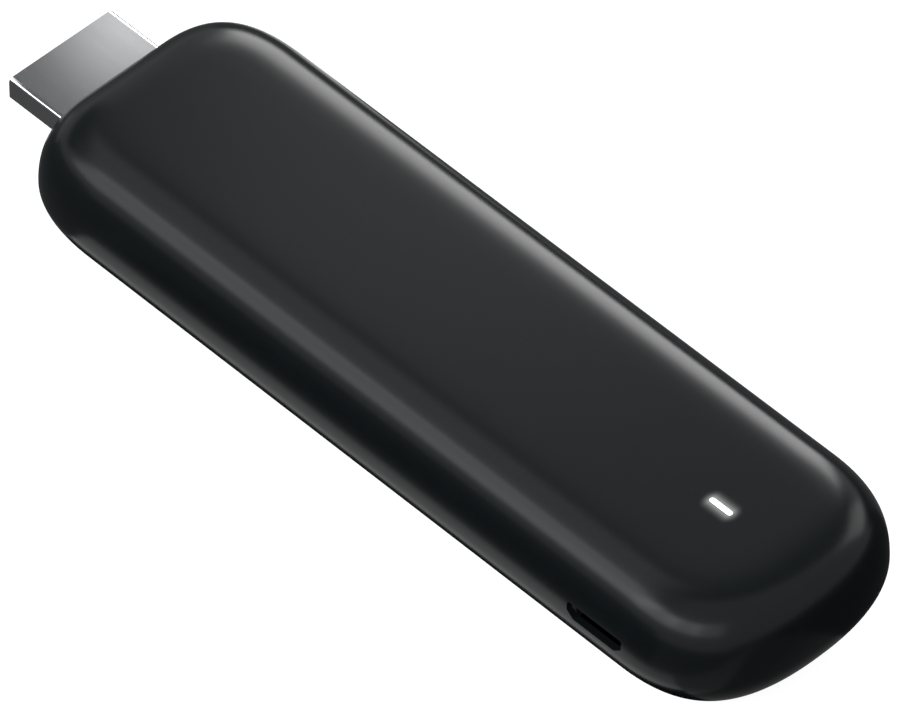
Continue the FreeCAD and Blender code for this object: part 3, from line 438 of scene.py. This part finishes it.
def away_from_pill(tree, end_falloff):
    """Distance from the pill's middle line, counted faster past its two ends."""
    parts = tree.nodes.new("ShaderNodeSeparateXYZ")
    tree.links.new(tree.nodes.new("ShaderNodeTexCoord").outputs["Object"], parts.inputs["Vector"])
    along = calculate(tree, "ABSOLUTE", calculate(tree, "SUBTRACT", parts.outputs["X"], PILL_PLACE))
    half_line = (PILL_LENGTH - PILL_WIDTH) / 2
    past = calculate(tree, "MAXIMUM", calculate(tree, "SUBTRACT", along, half_line), 0.0)
    away = tree.nodes.new("ShaderNodeCombineXYZ")
    tree.links.new(calculate(tree, "MULTIPLY", past, end_falloff), away.inputs["X"])
    tree.links.new(parts.outputs["Y"], away.inputs["Y"])
    tree.links.new(calculate(tree, "SUBTRACT", parts.outputs["Z"], BODY_HEIGHT), away.inputs["Z"])
    distance = tree.nodes.new("ShaderNodeVectorMath")
    distance.operation = "LENGTH"
    tree.links.new(away.outputs["Vector"], distance.inputs[0])
    return distance.outputs["Value"]


def glowing(name):
    """Clear diffusing moulding that glows white inside a thin rim of painted shade, where the gap
    round the pill is dark.
    """
    material, tree, shader, place = new_material(name)
    shader.inputs["Roughness"].default_value = PILL_ROUGHNESS
    rim_end = PILL_WIDTH / 2 - PILL_RIM
    core = fade_out(tree, away_from_pill(tree, 1.0), rim_end - PILL_RIM, rim_end)
    # Dark rim tone: painted shade of the gap round the pill
    tree.links.new(blend_colors(tree, core, PILL_GAP_SHADE_TONE, WHITE), shader.inputs["Base Color"])
    shine(tree, shader, calculate(tree, "MULTIPLY", core, PILL_BRIGHTNESS))
    bump(tree, shader, noise(tree, place, PILL_MOTTLE), PILL_RELIEF, PILL_RELIEF_STRENGTH)
    return material


def paint_glow_round_pill(material):
    """Add a glow painted on the plastic round the pill, falling off with distance."""
    tree = material.node_tree
    edge = PILL_WIDTH / 2
    # Painted glow: brightest at the pill's edge, fading to none a halo's width away
    near = fade_out(tree, away_from_pill(tree, HALO_END_FALLOFF), edge, edge + PILL_HALO)
    strength = calculate(tree, "MULTIPLY", calculate(tree, "POWER", near, HALO_FALLOFF), HALO_STRENGTH)
    shine(tree, tree.nodes["Principled BSDF"], strength)
    return material


MATERIALS = {
    # The housing's plastic carries the painted glow round the pill
    "housing": paint_glow_round_pill(finish(
        "black_moulded_plastic", (0.0038, 0.0050, 0.0056), roughness=0.235, specular=0.15,
        grain=0.09 * MM, relief=0.0008 * MM)),
    "plug_metal": finish(
        "nickel_plated_sheet", (0.53, 0.54, 0.55), roughness=0.13, metallic=1.0,
        grain=0.12 * MM, variation=0.05, relief=0.0006 * MM, stretch=(0.12, 1, 1)),
    "contact_gold": finish(
        "gold_plating", (0.80, 0.58, 0.24), roughness=0.25, metallic=1.0, grain=0.1 * MM),
    "black_moulding": finish(
        "connector_moulding", (0.01, 0.01, 0.01), roughness=0.5, specular=0.3, grain=0.1 * MM),
    "board_mask": finish("solder_mask", (0.008, 0.03, 0.016), roughness=0.35, grain=0.4 * MM),
    "chip_moulding": finish("chip_package", (0.02, 0.02, 0.022), roughness=0.55, grain=0.08 * MM),
    "inductor_ferrite": finish("moulded_ferrite", (0.06, 0.06, 0.065), roughness=0.6, grain=0.08 * MM),
    "capacitor_ceramic": finish("fired_ceramic", (0.35, 0.24, 0.15), roughness=0.45, grain=0.08 * MM),
    "shield_tin": finish(
        "tinned_sheet", (0.6, 0.6, 0.58), roughness=0.35, metallic=1.0, grain=0.2 * MM),
    "antenna_metal": finish(
        "antenna_sheet", (0.65, 0.64, 0.6), roughness=0.3, metallic=1.0, grain=0.15 * MM),
    "spreader_aluminium": finish(
        "rolled_aluminium", (0.75, 0.76, 0.78), roughness=0.38, metallic=1.0,
        grain=0.15 * MM, stretch=(0.1, 1, 1)),
    "thermal_gel": finish("filled_gel", (0.35, 0.38, 0.42), roughness=0.7, grain=0.3 * MM),
    "light_pipe": glowing("glowing_light_pipe"),
    "lamp": finish("lamp_package", (0.85, 0.85, 0.75), roughness=0.3, grain=0.1 * MM),
    "foam": finish("foam", (0.02, 0.02, 0.02), roughness=0.9, grain=0.15 * MM, relief=0.03 * MM),
}

for subpart in frame["record"]["subparts"]:
    node = frame["nodes"][subpart["node"]]
    for material_slot in node.material_slots:
        material_slot.material = MATERIALS[subpart["material_slot"]]

for node, cover in covers.items():
    smooth(cover)
    cover.data.materials.clear()
    cover.data.materials.append(MATERIALS["housing"])
    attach(cover, "root")
    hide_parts(node)


# Studio helpers

def direction(azimuth, elevation):
    """Unit vector towards an azimuth, turned from -Y towards +X, and an elevation, in degrees."""
    turn, lift = math.radians(azimuth), math.radians(elevation)
    return Vector((math.sin(turn) * math.cos(lift), -math.cos(turn) * math.cos(lift), math.sin(lift)))


def facing(place, towards):
    """Turn of a sheet or a lamp that looks from its place towards a point."""
    return (place - towards).to_track_quat("Z", "Y")


def facing_corners(place, towards, width, height):
    """Corners of a rectangle that faces a point."""
    turn = facing(place, towards)
    return [place + turn @ Vector((x * width / 2, y * height / 2, 0)) for x, y in QUADRANTS]


def shows_white(tree):
    """One for the rays that see the background: from the camera, in reflections and through glass."""
    paths = tree.nodes.new("ShaderNodeLightPath")
    total = paths.outputs["Is Camera Ray"]
    for kind in ("Is Glossy Ray", "Is Transmission Ray"):
        total = calculate(tree, "MAXIMUM", total, paths.outputs[kind])
    return total


def plain_material(name, level):
    """Dull grey of one level."""
    material, tree, shader, place = new_material(name)
    shader.inputs["Base Color"].default_value = (level, level, level, 1)
    shader.inputs["Roughness"].default_value = 1.0
    shader.inputs["Specular IOR Level"].default_value = 0.0
    return material, tree, shader, place


def cloth_of(name, brightness):
    """Cloth with an even brightness of its own."""
    material, tree, shader, _ = plain_material(name, 0.0)
    shine(tree, shader, brightness)
    return material


def flat_sheet(name, corners, material):
    """Flat sheet over a list of corners, for the studio round the stick."""
    bm = bmesh.new()
    bm.faces.new([bm.verts.new(corner) for corner in corners])
    sheet = finish_mesh(bm, name)
    sheet.data.materials.append(material)
    return sheet


def flag(name, corners, material):
    """Cloth that only reflections see."""
    cloth = flat_sheet(name, corners, material)
    cloth.visible_camera = False
    cloth.visible_diffuse = False
    cloth.visible_shadow = False
    cloth.visible_transmission = False


def near_flag(name, centre, azimuth, elevation, distance, width, height, material):
    """Flag that faces a point of the stick."""
    place = centre + direction(azimuth, elevation) * distance
    flag(name, facing_corners(place, centre, width, height), material)


def wall_flag(name, azimuths, distance, top, material):
    """Upright flag that runs past the stick between two azimuths."""
    first, last = (direction(azimuth, 0) * distance for azimuth in azimuths)
    foot, head = Vector((0, 0, WALL_FLAG_FOOT)), Vector((0, 0, top))
    flag(name, [first + foot, last + foot, last + head, first + head], material)


def level_corners(along, across, height):
    """Corners of a level rectangle between two places along and two places across the stick."""
    return [(along[0], across[0], height), (along[1], across[0], height),
            (along[1], across[1], height), (along[0], across[1], height)]


def floor_flag(name, along, across, material):
    """Flag that lies just above the floor."""
    flag(name, level_corners(along, across, FLAG_LIFT), material)


def soft_spot(name, place, towards, radius, brightness):
    """Glowing disc with a soft edge that only reflections see."""
    material, tree, shader, here = plain_material(name, 0.0)
    shine(tree, shader, brightness)
    away = tree.nodes.new("ShaderNodeVectorMath")
    away.operation = "DISTANCE"
    away.inputs[1].default_value = place
    tree.links.new(here, away.inputs[0])
    fade = fade_out(tree, away.outputs["Value"], 0.0, radius, "SMOOTHSTEP")
    tree.links.new(fade, shader.inputs["Alpha"])
    flag(name, facing_corners(place, towards, 2 * radius, 2 * radius), material)


def lamp_at(name, place, towards, width, height, radiance):
    """Rectangular lamp with a stated brightness that faces a point."""
    lamp = bpy.data.lights.new(name, "AREA")
    lamp.shape = "RECTANGLE"
    lamp.size = width
    lamp.size_y = height
    lamp.energy = radiance * math.pi * width * height
    holder = bpy.data.objects.new(name, lamp)
    holder.location = place
    holder.rotation_euler = facing(place, towards).to_euler()
    holder.visible_camera = False
    bpy.context.scene.collection.objects.link(holder)


def softbox(name, azimuth, elevation, width, height, radiance):
    """Large lamp that faces the middle of the stick."""
    place = direction(azimuth, elevation) * SOFTBOX_DISTANCE
    lamp_at(name, place, MIDDLE, width, height, radiance)


# Floor and surroundings

MIDDLE = Vector((0, 0, 0))
FLOOR_REACH = 3.0
FLOOR_LEVEL = 0.2

# Brightness of the floor where it is seen or mirrored, and of the sky where it is neither
FLOOR_GLOW = 0.92
AMBIENT = 0.5

floor_material, floor_tree, floor_shader, _ = plain_material("pale_floor", FLOOR_LEVEL)
shine(floor_tree, floor_shader, calculate(floor_tree, "MULTIPLY", shows_white(floor_tree), FLOOR_GLOW))
floor_span = (-FLOOR_REACH, FLOOR_REACH)
flat_sheet("floor", level_corners(floor_span, floor_span, 0), floor_material)

world = bpy.data.worlds.new("studio")
bpy.context.scene.world = world
world.use_nodes = True
sky_tree = world.node_tree
sky = sky_tree.nodes["Background"]
sky.inputs["Color"].default_value = (*WHITE, 1)
sky_strength = map_range(sky_tree, shows_white(sky_tree), 0.0, 1.0, AMBIENT, 1.0)
sky_tree.links.new(sky_strength, sky.inputs["Strength"])


# Lamps

# Front is the side with the power socket, rear the other long side, and far the end
# without the plug.
SOFTBOX_DISTANCE = 0.8

# Brightness of the lamps that light the front far corner, by their azimuths
CORNER_RADIANCES = {169: 4.2, 198: 3.4, 226: 1.8}

# Long bright highlight on the rear shoulder, and its end round the far corner
softbox("rear_softbox", azimuth=35, elevation=26.8, width=0.30, height=0.33, radiance=11.5)
softbox("rear_far_softbox", azimuth=-12, elevation=30, width=0.38, height=0.34, radiance=3.2)

# Soft highlight on the front shoulder: lower half, end round the far corner, upper half
softbox("front_softbox", azimuth=139, elevation=44, width=0.46, height=0.42, radiance=4.6)
for azimuth, radiance in CORNER_RADIANCES.items():
    softbox(f"corner_softbox_{azimuth}", azimuth, elevation=40, width=0.40, height=0.38,
            radiance=radiance)
softbox("upper_softbox", azimuth=95, elevation=60, width=0.60, height=0.26, radiance=1.9)

# Faint sheen on the flat top, stronger towards the plug
lamp_at("top_lamp", Vector((0.113, -0.105, 0.150)), towards=Vector((0.023, -0.015, 0.015)),
        width=0.05, height=0.05, radiance=1.1)


# Cloths that reflections see, to keep the stick's dark sides dark

BLACK_CLOTH = cloth_of("black_cloth", 0.0)
FAINT_CLOTH = cloth_of("faint_cloth", 0.04)
DARK_CLOTH = cloth_of("dark_cloth", 0.1)
GREY_CLOTH = cloth_of("grey_cloth", 0.16)
PALE_CLOTH = cloth_of("pale_cloth", 0.45)

# Overhead: the first is mirrored by the flat tops of the housing and the plug, the
# second faintly by the front shoulder
near_flag("upper_flag", MIDDLE, azimuth=46, elevation=58, distance=1.0, width=1.6, height=0.75,
          material=GREY_CLOTH)
near_flag("side_flag", MIDDLE, azimuth=100, elevation=58, distance=1.1, width=1.3, height=0.85,
          material=PALE_CLOTH)

# Upright round the stick, mirrored by its sides and ends
WALL_FLAG_FOOT = -0.01

wall_flag("rear_flag", azimuths=(-20, 52), distance=0.5, top=0.10, material=BLACK_CLOTH)
wall_flag("plug_rear_flag", azimuths=(52, 75), distance=0.5, top=0.10, material=PALE_CLOTH)
wall_flag("front_flag", azimuths=(100, 180), distance=0.4, top=0.065, material=DARK_CLOTH)
wall_flag("far_flag", azimuths=(-110, -20), distance=0.3, top=0.02, material=GREY_CLOTH)

# On the floor, mirrored by the lower shoulders and by the plug's side
FLAG_LIFT = 0.3 * MM
CLOTH_REACH = 0.5
FAR_START = -0.044
PLUG_START = 0.044
FRONT_START = 0.0235

floor_flag("rear_floor_flag", along=(-0.040, PLUG_START), across=(-CLOTH_REACH, -0.012),
           material=GREY_CLOTH)
floor_flag("middle_floor_flag", along=(FAR_START, PLUG_START), across=(-0.012, 0.016),
           material=BLACK_CLOTH)
floor_flag("front_floor_flag", along=(-0.038, PLUG_START), across=(FRONT_START, CLOTH_REACH),
           material=BLACK_CLOTH)
floor_flag("far_rear_floor_flag", along=(-CLOTH_REACH, -0.040), across=(-CLOTH_REACH, -0.006),
           material=FAINT_CLOTH)
floor_flag("far_middle_floor_flag", along=(-CLOTH_REACH, FAR_START), across=(-0.006, 0.014),
           material=GREY_CLOTH)
floor_flag("far_floor_flag", along=(-CLOTH_REACH, FAR_START), across=(0.014, FRONT_START),
           material=PALE_CLOTH)
floor_flag("far_front_floor_flag", along=(-CLOTH_REACH, -0.038), across=(FRONT_START, CLOTH_REACH),
           material=GREY_CLOTH)
floor_flag("plug_outer_floor_flag", along=(0.062, CLOTH_REACH), across=(-CLOTH_REACH, 0.005),
           material=GREY_CLOTH)
floor_flag("plug_front_floor_flag", along=(PLUG_START, CLOTH_REACH), across=(0.005, CLOTH_REACH),
           material=DARK_CLOTH)

# Bright spot that the plug's top mirrors at its rear corner
PLUG_TOP = Vector((0.057, -0.007, 0.010))
PLUG_SPOT_PLACE = Vector((0.098, -0.047, 0.068))

soft_spot("plug_spot", PLUG_SPOT_PLACE, towards=PLUG_TOP, radius=0.0140, brightness=1.2)

# Small cloths beside the plug, mirrored by its upper front edge
PLUG_EDGE = Vector((0.053, 0.0068, 0.0098))

near_flag("plug_side_flag", PLUG_EDGE, azimuth=149, elevation=16, distance=0.020, width=0.030,
          height=0.0085, material=GREY_CLOTH)
near_flag("plug_upper_flag", PLUG_EDGE, azimuth=90, elevation=62, distance=0.020, width=0.022,
          height=0.009, material=GREY_CLOTH)


# Camera, at the photograph's viewing angle

CAMERA_AZIMUTH = -133.964
CAMERA_ELEVATION = 47.191
CAMERA_DISTANCE = 1.320
CAMERA_TARGET = Vector((0.002003, 0.000009, 0.0077))
SENSOR_WIDTH = 36.0
IMAGE_WIDTH = 900
FOCAL_PIXELS = 13637.0
FARTHEST_SEEN = 100.0

camera_data = bpy.data.cameras.new("camera")
camera_data.sensor_width = SENSOR_WIDTH
camera_data.lens = FOCAL_PIXELS / IMAGE_WIDTH * SENSOR_WIDTH
camera_data.clip_end = FARTHEST_SEEN
camera = bpy.data.objects.new("camera", camera_data)
backwards = direction(CAMERA_AZIMUTH, CAMERA_ELEVATION)
camera.location = CAMERA_TARGET + backwards * CAMERA_DISTANCE
camera.rotation_euler = backwards.to_track_quat("Z", "Y").to_euler()
bpy.context.scene.collection.objects.link(camera)
bpy.context.scene.camera = camera

bpy.context.scene.view_settings.view_transform = "Standard"
